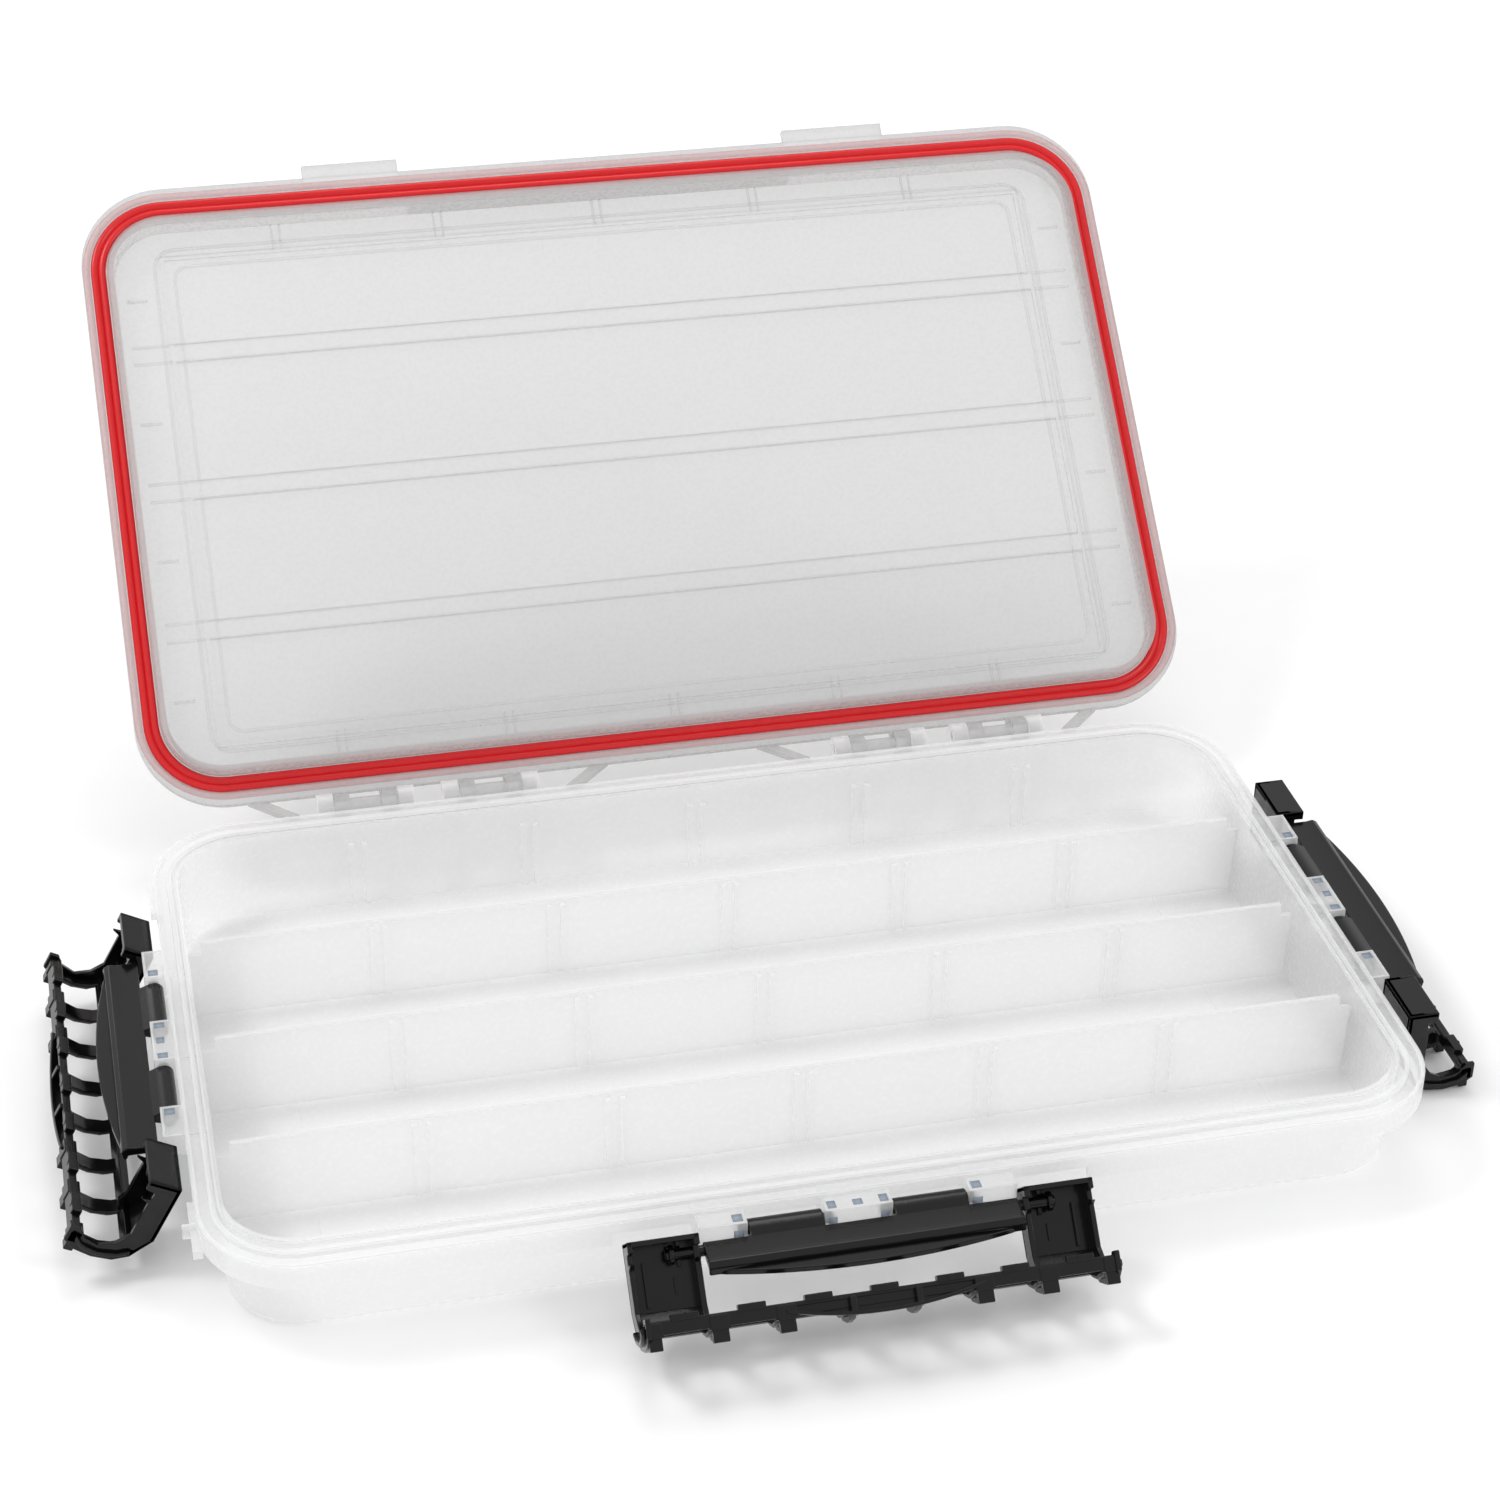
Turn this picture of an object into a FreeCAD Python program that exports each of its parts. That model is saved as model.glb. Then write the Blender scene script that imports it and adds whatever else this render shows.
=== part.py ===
import FreeCAD, Part
import math
import os
import Sketcher

# Fishing tackle box with a clear tray, a clear gasketed lid and three draw latches.
# Millimetres. +X along the length, +Y to the hinge side, +Z up.
# Origin: centre of the rim's outline, on the plane that the box stands on.

os.makedirs("parts", exist_ok=True)
doc = FreeCAD.newDocument("tackle_box")

DIMENSIONS = {
    # tray
    "rim_length": 336.0, "rim_width": 206.0, "rim_radius": 27.0, "rim_top": 29.5,
    "flange_thick": 3.2, "skirt_thick": 1.6, "skirt_drop": 7.0,
    "tub_length": 323.0, "tub_width": 187.0, "tub_radius": 20.5, "tub_shift": 1.5,
    "tub_draft": 2.0, "wall_thick": 1.8, "floor_thick": 1.8, "foot_fillet": 2.4,
    "rim_groove": 1.2, "lip_width": 1.4, "ridge_width": 1.4,
    "divider_thick": 1.6, "divider_top": 27.6, "divider_pitch": 46.4, "divider_first": 45.8,
    "slot_pitch": 52.7, "slot_gap": 2.4, "slot_rib": 1.6, "slot_depth": 1.1,
    # lid
    "lid_gap": 0.3, "lid_flange": 3.2, "lid_top": 34.4, "lid_panel": 1.7,
    "box_length": 324.0, "box_width": 190.0, "box_radius": 21.0,
    "plug_length": 319.6, "plug_width": 184.0, "plug_radius": 18.4, "plug_thick": 1.8,
    "plug_depth": 5.0, "lid_draft": 1.2,
    "channel_length": 331.0, "channel_width": 198.0, "channel_radius": 24.2,
    "channel_band": 5.4, "channel_depth": 2.2,
    "gasket_length": 330.4, "gasket_width": 197.4, "gasket_radius": 23.9,
    "gasket_band": 4.7, "gasket_high": 2.1, "gasket_rest": 0.1,
    # lid hinge
    "hinge_y": 107.5, "hinge_z": 28.5, "open_angle": 137.6,
    "hinge_outer": 101.0, "hinge_inner": 62.3, "hinge_half": 15.0,
    "ear_width": 5.0, "ear_radius": 4.0, "hinge_pin": 2.0, "hinge_fit": 0.07,
    # latches
    "pivot_out": 3.2, "pivot_high": 24.6, "pin_out": 8.4, "pin_high": 24.0,
    "pin_radius": 1.5, "pin_fit": 0.08, "lug_half": 9.0, "lug_near": 29.7, "lug_far": 42.6,
    "plate_half": 42.0, "plate_thick": 2.4, "block_near": 43.2, "block_far": 62.0,
    "rib_pitch": 17.24,
    "front_angle": -46.0, "left_angle": -61.0, "right_angle": -90.0,
}

sheet = doc.addObject("Spreadsheet::Sheet", "Dims")
for row, (alias, value) in enumerate(DIMENSIONS.items(), start=1):
    sheet.set("A%d" % row, alias)
    sheet.set("B%d" % row, str(value))
    sheet.setAlias("B%d" % row, alias)
doc.recompute()


def value(name):
    return DIMENSIONS[name]


def bound(expression):
    """An expression in the dimensions' names, written for the spreadsheet."""
    parts = []
    word = ""
    for letter in str(expression) + " ":
        if letter.isalnum() or letter == "_":
            word += letter
            continue
        parts.append("Dims." + word if word in DIMENSIONS else word)
        parts.append(letter)
        word = ""
    return "".join(parts).strip()


def bind(item, field, expression):
    item.setExpression(field, bound(expression))


def box(x0, x1, y0, y1, z0, z1):
    """A box between six expressions."""
    item = doc.addObject("Part::Box", "Block")
    bind(item, "Length", "(%s) - (%s)" % (x1, x0))
    bind(item, "Width", "(%s) - (%s)" % (y1, y0))
    bind(item, "Height", "(%s) - (%s)" % (z1, z0))
    bind(item, "Placement.Base.x", x0)
    bind(item, "Placement.Base.y", y0)
    bind(item, "Placement.Base.z", z0)
    return item


def rod(x0, x1, y, z, radius):
    """A cylinder along X between two expressions."""
    item = doc.addObject("Part::Cylinder", "Rod")
    item.Placement = FreeCAD.Placement(FreeCAD.Vector(0, 0, 0), FreeCAD.Rotation(FreeCAD.Vector(0, 1, 0), 90))
    bind(item, "Radius", radius)
    bind(item, "Height", "(%s) - (%s)" % (x1, x0))
    bind(item, "Placement.Base.x", x0)
    bind(item, "Placement.Base.y", y)
    bind(item, "Placement.Base.z", z)
    return item


def profile(points, x0, x1):
    """A polygon of (y, z) points, pushed along X from x0 to x1."""
    sketch = doc.addObject("Sketcher::SketchObject", "Profile")
    spin = FreeCAD.Rotation(FreeCAD.Vector(0, 1, 0), FreeCAD.Vector(0, 0, 1), FreeCAD.Vector(1, 0, 0), "ZXY")
    sketch.Placement = FreeCAD.Placement(FreeCAD.Vector(0, 0, 0), spin)
    count = len(points)
    for k in range(count):
        a, b = points[k], points[(k + 1) % count]
        line = Part.LineSegment(FreeCAD.Vector(a[0], a[1], 0), FreeCAD.Vector(b[0], b[1], 0))
        sketch.addGeometry(line, False)
    for k in range(count):
        sketch.addConstraint(Sketcher.Constraint("Coincident", k, 2, (k + 1) % count, 1))
    bind(sketch, "Placement.Base.x", x0)
    push = doc.addObject("Part::Extrusion", "Push")
    push.Base = sketch
    push.DirMode = "Custom"
    push.Dir = FreeCAD.Vector(1, 0, 0)
    push.Solid = True
    bind(push, "LengthFwd", "(%s) - (%s)" % (x1, x0))
    return push


def fuse(items, name):
    item = doc.addObject("Part::MultiFuse", name)
    item.Shapes = items
    return item


def cut(base, tool, name):
    item = doc.addObject("Part::Cut", name)
    item.Base = base
    item.Tool = tool
    return item


def plane(body, role):
    return [f for f in body.Origin.OriginFeatures if f.Role == role][0]


def rounded_outline(sketch, length, width, radius, shift):
    """A rounded rectangle centred at (0, shift), with its sizes bound to the sheet."""
    start = sketch.GeometryCount
    hx, hy, r = 100.0, 60.0, 10.0
    corners = ((hx - r, hy - r, 0), (-hx + r, hy - r, 90), (-hx + r, -hy + r, 180), (hx - r, -hy + r, 270))
    for cx, cy, turn in corners:
        circle = Part.Circle(FreeCAD.Vector(cx, cy, 0), FreeCAD.Vector(0, 0, 1), r)
        arc = Part.ArcOfCircle(circle, math.radians(turn), math.radians(turn + 90))
        sketch.addGeometry(arc, False)
    sides = (((hx - r, hy), (-hx + r, hy)), ((-hx, hy - r), (-hx, -hy + r)),
             ((-hx + r, -hy), (hx - r, -hy)), ((hx, -hy + r), (hx, hy - r)))
    for a, b in sides:
        line = Part.LineSegment(FreeCAD.Vector(a[0], a[1], 0), FreeCAD.Vector(b[0], b[1], 0))
        sketch.addGeometry(line, False)
    arcs = [start + k for k in range(4)]
    lines = [start + 4 + k for k in range(4)]
    for k in range(4):
        sketch.addConstraint(Sketcher.Constraint("Tangent", arcs[k], 2, lines[k], 1))
        sketch.addConstraint(Sketcher.Constraint("Tangent", lines[k], 2, arcs[(k + 1) % 4], 1))
    for k in (0, 2):
        sketch.addConstraint(Sketcher.Constraint("Horizontal", lines[k]))
        sketch.addConstraint(Sketcher.Constraint("Vertical", lines[k + 1]))
    for k in range(1, 4):
        sketch.addConstraint(Sketcher.Constraint("Equal", arcs[0], arcs[k]))
    sizes = (
        (Sketcher.Constraint("Radius", arcs[0], r), radius),
        (Sketcher.Constraint("DistanceX", -1, 1, lines[3], 1, hx), "(%s) / 2" % length),
        (Sketcher.Constraint("DistanceX", lines[1], 1, -1, 1, hx), "(%s) / 2" % length),
        (Sketcher.Constraint("DistanceY", -1, 1, lines[0], 1, hy), "(%s) / 2 + (%s)" % (width, shift)),
        (Sketcher.Constraint("DistanceY", lines[2], 1, -1, 1, hy), "(%s) / 2 - (%s)" % (width, shift)),
    )
    for constraint, expression in sizes:
        number = sketch.addConstraint(constraint)
        sketch.setExpression("Constraints[%d]" % number, bound(expression))


def outline_sketch(body, name, height, outlines):
    """A level sketch at a height, holding one or two rounded rectangles."""
    sketch = body.newObject("Sketcher::SketchObject", name)
    sketch.AttachmentSupport = [(plane(body, "XY_Plane"), "")]
    sketch.MapMode = "FlatFace"
    sketch.setExpression("AttachmentOffset.Base.z", bound(height))
    for length, width, radius, shift in outlines:
        rounded_outline(sketch, length, width, radius, shift)
    return sketch


def pad(body, sketch, height, draft="0", downward=False):
    item = body.newObject("PartDesign::Pad", "Pad")
    item.Profile = sketch
    item.Reversed = downward
    bind(item, "Length", height)
    bind(item, "TaperAngle", draft)
    doc.recompute()
    return item


def pocket(body, sketch, height, draft="0", upward=False):
    item = body.newObject("PartDesign::Pocket", "Pocket")
    item.Profile = sketch
    item.Reversed = upward
    bind(item, "Length", height)
    bind(item, "TaperAngle", draft)
    doc.recompute()
    return item


def new_body(name):
    body = doc.addObject("PartDesign::Body", name)
    doc.recompute()
    return body


# ---------------------------------------------------------------- tray
tub = new_body("tub_shell")
block = pad(tub, outline_sketch(tub, "TubOutside", "0", [("tub_length", "tub_width", "tub_radius", "tub_shift")]),
            "rim_top", "tub_draft")
foot = tub.newObject("PartDesign::Fillet", "Foot")
low_edges = ["Edge%d" % (k + 1) for k, edge in enumerate(block.Shape.Edges) if edge.BoundBox.ZMax < 0.01]
foot.Base = (block, low_edges)
bind(foot, "Radius", "foot_fillet")
doc.recompute()
pad(tub, outline_sketch(tub, "Flange", "rim_top - flange_thick", [("rim_length", "rim_width", "rim_radius", "0")]),
    "flange_thick")
pad(tub, outline_sketch(tub, "Skirt", "rim_top - skirt_drop", [
    ("rim_length", "rim_width", "rim_radius", "0"),
    ("rim_length - 2 * skirt_thick", "rim_width - 2 * skirt_thick", "rim_radius - skirt_thick", "0")]),
    "skirt_drop")
pocket(tub, outline_sketch(tub, "TubInside", "floor_thick", [
    ("tub_length - 2 * wall_thick", "tub_width - 2 * wall_thick", "tub_radius - wall_thick", "tub_shift")]),
    "rim_top", "tub_draft", upward=True)
for name, outside, inside in (
        ("OuterGroove", "rim_length - 2 * 1.4", "gasket_length - 2.4"),
        ("InnerGroove", "gasket_length - 2.4 - 2 * ridge_width", "tub_length + 1.0")):
    across = "rim_width - rim_length + "
    swap = "gasket_width - gasket_length + "
    outer_width = across + outside if name == "OuterGroove" else swap + outside
    inner_width = swap + inside if name == "OuterGroove" else "tub_width + 1.0"
    outer_radius = "rim_radius - 1.4" if name == "OuterGroove" else "gasket_radius - 1.2 - ridge_width"
    inner_radius = "gasket_radius - 1.2" if name == "OuterGroove" else "tub_radius + 0.5"
    inner_shift = "0" if name == "OuterGroove" else "tub_shift"
    ring = outline_sketch(tub, name, "rim_top", [
        (outside, outer_width, outer_radius, "0"), (inside, inner_width, inner_radius, inner_shift)])
    pocket(tub, ring, "rim_groove")
doc.recompute()

tray_add = [tub]
back_face = "(tub_width / 2 + tub_shift - wall_thick)"
for k in (-2, -1, 0, 1, 2):
    for side in (-1, 1):
        centre = "(%d * slot_pitch + %d * (slot_gap + slot_rib) / 2)" % (k, side)
        tray_add.append(box(centre + " - slot_rib / 2", centre + " + slot_rib / 2",
                            back_face + " - slot_depth", back_face + " + 1.6", "floor_thick - 0.4",
                            "rim_top - 6"))
for end in (-1, 1):
    tray_add.append(box("%d * 134.5 - 0.6" % end, "%d * 134.5 + 0.6" % end,
                        "-(tub_width / 2) + tub_shift + 2", "tub_width / 2 + tub_shift - 2",
                        "floor_thick - 0.4", "floor_thick + 0.35"))

# three lugs for each latch, drawn for the front and turned to the sides
def lug_group(name, turn, reach):
    """Lugs in the latch frame: X along the latch, -Y outward from the rim's face."""
    parts = []
    for low, high in (("-lug_far", "-lug_near"), ("-lug_half", "lug_half"), ("lug_near", "lug_far")):
        parts.append(box(low, high, "-5.6", "6.9", "22.0", "rim_top - 0.9"))
    bores = []
    for low, high in (("-lug_near - 3.0", "-lug_near + 1"), ("-lug_half - 1", "-lug_half + 3.0"),
                      ("lug_half - 3.0", "lug_half + 1"), ("lug_near - 1", "lug_near + 3.0")):
        bores.append(rod(low, high, "-pivot_out", "pivot_high", "pin_radius + pin_fit"))
    group = cut(fuse(parts, name + "_solid"), fuse(bores, name + "_bores"), name)
    group.Placement = FreeCAD.Placement(reach, FreeCAD.Rotation(FreeCAD.Vector(0, 0, 1), turn))
    return group


FRONT = FreeCAD.Vector(0, -value("rim_width") / 2, 0)
RIGHT = FreeCAD.Vector(value("rim_length") / 2, 0, 0)
LEFT = FreeCAD.Vector(-value("rim_length") / 2, 0, 0)
LATCHES = (("front", 0, FRONT), ("right", 90, RIGHT), ("left", -90, LEFT))
for side, turn, reach in LATCHES:
    tray_add.append(lug_group(side + "_lugs", turn, reach))

# hinge ears on the back of the rim, each with a gusset below it
HINGES = [s * value(n) for n in ("hinge_outer", "hinge_inner") for s in (-1, 1)]
ear_bores = []
for centre in HINGES:
    for side in (-1, 1):
        low = "%s + %d * (hinge_half - ear_width / 2) - ear_width / 2" % (centre, side)
        high = "%s + %d * (hinge_half - ear_width / 2) + ear_width / 2" % (centre, side)
        tray_add.append(rod(low, high, "hinge_y", "hinge_z", "ear_radius"))
        tray_add.append(profile([(101.6, 23.2), (107.5, 24.5), (107.5, 29.2), (101.6, 29.2)], low, high))
        tray_add.append(profile([(96.0, 6.0), (101.9, 22.6), (101.9, 26.4), (96.0, 26.4)],
                                low + " + 1.6", high + " - 1.6"))
    ear_bores.append(rod("%s - hinge_half - 1" % centre, "%s + hinge_half + 1" % centre,
                         "hinge_y", "hinge_z", "hinge_pin + hinge_fit"))

# small tabs and a knob on the rim's left side
tray_add.append(box("-rim_length / 2 - 1.6", "-rim_length / 2 + 1", "64", "78", "rim_top - 5", "rim_top - 2.6"))
tray_add.append(box("-rim_length / 2 - 1.6", "-rim_length / 2 + 1", "-86", "-66", "rim_top - 7", "rim_top - 4.6"))
knob = rod("-rim_length / 2 - 3.6", "-rim_length / 2 + 0.8", "-76", "rim_top - 5.8", "1.9")
tray_add.append(knob)

skirt_cuts = []
half_zone = "(block_far + 2)"
skirt_cuts.append(box("-" + half_zone, half_zone, "-rim_width / 2 - 1", "-rim_width / 2 + skirt_thick + 0.1",
                      "rim_top - skirt_drop - 1", "rim_top - flange_thick"))
for end in (-1, 1):
    low = "-rim_length / 2 - 1" if end < 0 else "rim_length / 2 - skirt_thick - 0.1"
    high = "-rim_length / 2 + skirt_thick + 0.1" if end < 0 else "rim_length / 2 + 1"
    skirt_cuts.append(box(low, high, "-" + half_zone, half_zone,
                          "rim_top - skirt_drop - 1", "rim_top - flange_thick"))
shell = cut(tub, fuse(skirt_cuts, "skirt_cuts"), "shell_with_latch_zones")
tray_add[0] = shell
tray = cut(fuse(tray_add, "tray_solid"), fuse(ear_bores, "ear_bores"), "tray")

# ---------------------------------------------------------------- dividers
GROW = math.tan(math.radians(value("tub_draft")))


def half_inside(z):
    """Half the tub's inside length at a height."""
    return value("tub_length") / 2 - value("wall_thick") + (z - value("floor_thick")) * GROW


def divider(name, number):
    floor, top, notch = value("floor_thick"), value("divider_top"), 23.4
    ends = [(half_inside(floor) - 0.15, floor), (half_inside(notch) - 0.15, notch),
            (half_inside(notch) - 3.9, notch), (half_inside(notch) - 3.9, top)]
    outline = ends + [(-x, z) for x, z in reversed(ends)]
    sketch = doc.addObject("Sketcher::SketchObject", name + "_outline")
    sketch.Placement = FreeCAD.Placement(FreeCAD.Vector(0, 0, 0),
                                         FreeCAD.Rotation(FreeCAD.Vector(1, 0, 0), 90))
    for k in range(len(outline)):
        a, b = outline[k], outline[(k + 1) % len(outline)]
        sketch.addGeometry(Part.LineSegment(FreeCAD.Vector(a[0], a[1], 0), FreeCAD.Vector(b[0], b[1], 0)), False)
    for k in range(len(outline)):
        sketch.addConstraint(Sketcher.Constraint("Coincident", k, 2, (k + 1) % len(outline), 1))
    middle = "(divider_first - %d * divider_pitch)" % number
    bind(sketch, "Placement.Base.y", middle + " + divider_thick / 2")
    plate = doc.addObject("Part::Extrusion", name + "_plate")
    plate.Base = sketch
    plate.DirMode = "Custom"
    plate.Dir = FreeCAD.Vector(0, -1, 0)
    plate.Solid = True
    bind(plate, "LengthFwd", "divider_thick")
    parts = [plate]
    for k in (-2, -1, 0, 1, 2):
        for side in (-1, 1):
            centre = "(%d * slot_pitch + %d * (slot_gap + slot_rib) / 2)" % (k, side)
            parts.append(box(centre + " - slot_rib / 2", centre + " + slot_rib / 2",
                             middle + " - divider_thick / 2 - slot_depth",
                             middle + " + divider_thick / 2 + slot_depth",
                             "floor_thick + 0.4", "divider_top - 1.2"))
    return fuse(parts, name)


NODES = [tray, divider("divider_back", 0), divider("divider_middle", 1), divider("divider_front", 2)]

# ---------------------------------------------------------------- lid, drawn shut
lid_low = "(rim_top + lid_gap)"
cover = new_body("lid_shell")
pad(cover, outline_sketch(cover, "LidFlange", lid_low, [("rim_length", "rim_width", "rim_radius", "0")]),
    "lid_flange")
pad(cover, outline_sketch(cover, "LidBox", lid_low, [("box_length", "box_width", "box_radius", "0")]),
    "lid_top - " + lid_low, "-lid_draft")
pad(cover, outline_sketch(cover, "LidPlug", lid_low, [("plug_length", "plug_width", "plug_radius", "tub_shift")]),
    "plug_depth", "0", downward=True)
pocket(cover, outline_sketch(cover, "LidInside", lid_low + " - plug_depth", [
    ("plug_length - 2 * plug_thick", "plug_width - 2 * plug_thick", "plug_radius - plug_thick", "tub_shift")]),
    "lid_top - lid_panel - rim_top - lid_gap + plug_depth", "0", upward=True)
pocket(cover, outline_sketch(cover, "Channel", lid_low, [
    ("channel_length", "channel_width", "channel_radius", "0"),
    ("channel_length - 2 * channel_band", "channel_width - 2 * channel_band",
     "channel_radius - channel_band", "0")]),
    "channel_depth", "0", upward=True)
doc.recompute()

ceiling = "(lid_top - lid_panel)"
lid_add = [cover]
for number in (0, 1, 2):
    middle = "(divider_first - %d * divider_pitch)" % number
    lid_add.append(box("-142", "142", middle + " - 3", middle + " + 3", ceiling + " - 0.8", ceiling + " + 0.4"))
border = ((-143.2, 143.2, 82.6, 84.0), (-143.2, 143.2, -80.4, -79.0),
          (-143.2, -141.8, -80.4, 84.0), (141.8, 143.2, -80.4, 84.0))
for x0, x1, y0, y1 in border:
    lid_add.append(box(x0, x1, y0, y1, ceiling + " - 0.8", ceiling + " + 0.4"))
for side in (-1, 1):
    low, high = (66.0, 100.0) if side > 0 else (-94.5, -63.5)
    lid_add.append(box(low, high, "-rim_width / 2 - 4.6", "-rim_width / 2 + 1", lid_low + " + 0.6",
                       lid_low + " + lid_flange"))
for centre in HINGES:
    for side in (-1, 1):
        low = "%s + %d * 7.3 - 2.4" % (centre, side)
        high = "%s + %d * 7.3 + 2.4" % (centre, side)
        lid_add.append(rod(low, high, "hinge_y", "hinge_z", "3.6"))
        lid_add.append(profile([(101.8, 30.2), (105.4, 31.6), (107.5, 28.5), (107.5, 24.9), (110.8, 28.5),
                                (107.0, 33.0), (101.8, 33.0)], low, high))
    lid_add.append(rod("%s - hinge_half + 0.6" % centre, "%s + hinge_half - 0.6" % centre,
                       "hinge_y", "hinge_z", "hinge_pin"))

# four slanting stop fingers, drawn for the open lid and turned back with the lid's angle
AXIS = FreeCAD.Vector(0, value("hinge_y"), value("hinge_z"))
OPENING = FreeCAD.Rotation(FreeCAD.Vector(1, 0, 0), -value("open_angle"))
OPEN = FreeCAD.Placement(FreeCAD.Vector(0, 0, 0), OPENING, AXIS)
fingers = []
for centre, lean in ((-129.0, 1), (-31.5, -1), (31.5, 1), (129.0, -1)):
    foot, root = centre + lean * 5.3, centre - lean * 5.3
    points = [(foot - 2.2, 103.4), (foot + 2.2, 103.4), (root + 2.2, 114.2), (root - 2.2, 114.2)]
    wire = Part.makePolygon([FreeCAD.Vector(x, y, 27.65) for x, y in points + points[:1]])
    solid = Part.Face(wire).extrude(FreeCAD.Vector(0, 0, 1.75))
    finger = doc.addObject("Part::Feature", "stop_finger")
    finger.Shape = solid
    finger.Placement = OPEN.inverse()
    fingers.append(finger)
lid = fuse(lid_add + fingers, "lid")
lid.Placement = OPEN
NODES.append(lid)

gasket = new_body("gasket")
pad(gasket, outline_sketch(gasket, "Seal", lid_low + " - gasket_rest", [
    ("gasket_length", "gasket_width", "gasket_radius", "0"),
    ("gasket_length - 2 * gasket_band", "gasket_width - 2 * gasket_band", "gasket_radius - gasket_band", "0")]),
    "gasket_high")
gasket.Placement = OPEN
NODES.append(gasket)

# ---------------------------------------------------------------- latches
def latch_frame(turn, reach):
    return FreeCAD.Placement(reach, FreeCAD.Rotation(FreeCAD.Vector(0, 0, 1), turn))


def crescent(half, rise, near, low, high, name):
    """A level crescent: its straight side at y = near, bulging to -Y by rise."""
    a, b = FreeCAD.Vector(-half, near, low), FreeCAD.Vector(half, near, low)
    arc = Part.Arc(a, FreeCAD.Vector(0, near - rise, low), b).toShape()
    face = Part.Face(Part.Wire([arc, Part.makeLine(b, a)]))
    item = doc.addObject("Part::Feature", name)
    item.Shape = face.extrude(FreeCAD.Vector(0, 0, high - low))
    return item


def latch_plate(side, turn, reach):
    """The hinged plate: two barrels between the lugs, a slab, a curved finger grip and end pins."""
    name = side + "_latch_plate"
    under = "(pivot_high - plate_thick / 2)"
    over = "(pivot_high + plate_thick / 2)"
    parts = [box("-plate_half", "plate_half", "-17.0", "-7.1", under, over)]
    parts.append(box("-plate_half", "plate_half", "-17.0", "-15.6", under + " - 1.2", over + " + 0.35"))
    parts.append(crescent(value("plate_half") - 2, 4.4, -16.6, 22.2, 24.2, name + "_grip"))
    for low, high in (("-lug_near + 0.4", "-lug_half - 0.4"), ("lug_half + 0.4", "lug_near - 0.4")):
        parts.append(rod(low, high, "-pivot_out", "pivot_high", "2.6"))
        parts.append(box(low, high, "-7.4", "-pivot_out", under, over))
    for low, high in (("-lug_near - 2.4", "-lug_half + 2.4"), ("lug_half - 2.4", "lug_near + 2.4")):
        parts.append(rod(low, high, "-pivot_out", "pivot_high", "pin_radius"))
    for low, high, radius in (("-52", "-plate_half + 1", "pin_radius"), ("plate_half - 1", "52", "pin_radius"),
                              ("-51.2", "-49.8", "2.6"), ("49.8", "51.2", "2.6")):
        parts.append(rod(low, high, "-pin_out", "pin_high", radius))
    hollows = []
    for middle in (-26.5, -16.5, 16.5, 26.5):
        hollows.append(box("%s - 3.4" % middle, "%s + 3.4" % middle, "-14.6", "-7.9", over + " - 0.5", over + " + 1"))
    plate = cut(fuse(parts, name + "_solid"), fuse(hollows, name + "_hollows"), name)
    plate.Placement = latch_frame(turn, reach)
    return plate


# the bail's cut shapes as (y, z) points from its pins: end plate, inner plate, rib band and rib web
END_PLATE = [(-4.6, -4.5), (4.4, -4.5), (4.4, 1.4), (2.0, 2.6), (2.0, 13.6), (4.6, 17.2), (8.6, 19.4),
             (13.0, 18.0), (15.0, 15.4), (17.8, 15.4), (17.8, 20.4), (14.6, 22.6), (9.0, 23.5), (3.4, 22.9),
             (-0.6, 20.4), (-4.6, 13.6)]
INNER_PLATE = [(-4.6, -4.5), (4.4, -4.5), (4.4, 1.4), (2.0, 2.6), (2.0, 13.6), (3.4, 16.4), (1.6, 20.4),
               (-0.4, 20.6), (-4.6, 13.6)]
RIB_BAND = [(0.2, 17.9), (3.4, 19.9), (8.0, 20.8), (12.6, 19.9), (15.4, 17.6), (15.4, 19.2), (12.6, 21.2),
            (8.0, 22.0), (3.4, 21.1), (0.2, 19.2)]
RIB_WEB = [(0.2, 18.4), (3.4, 20.4), (8.0, 21.3), (12.6, 20.4), (15.4, 18.2), (15.4, 21.4), (12.6, 22.8),
           (8.0, 23.5), (3.4, 22.8), (0.2, 20.4)]


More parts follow.
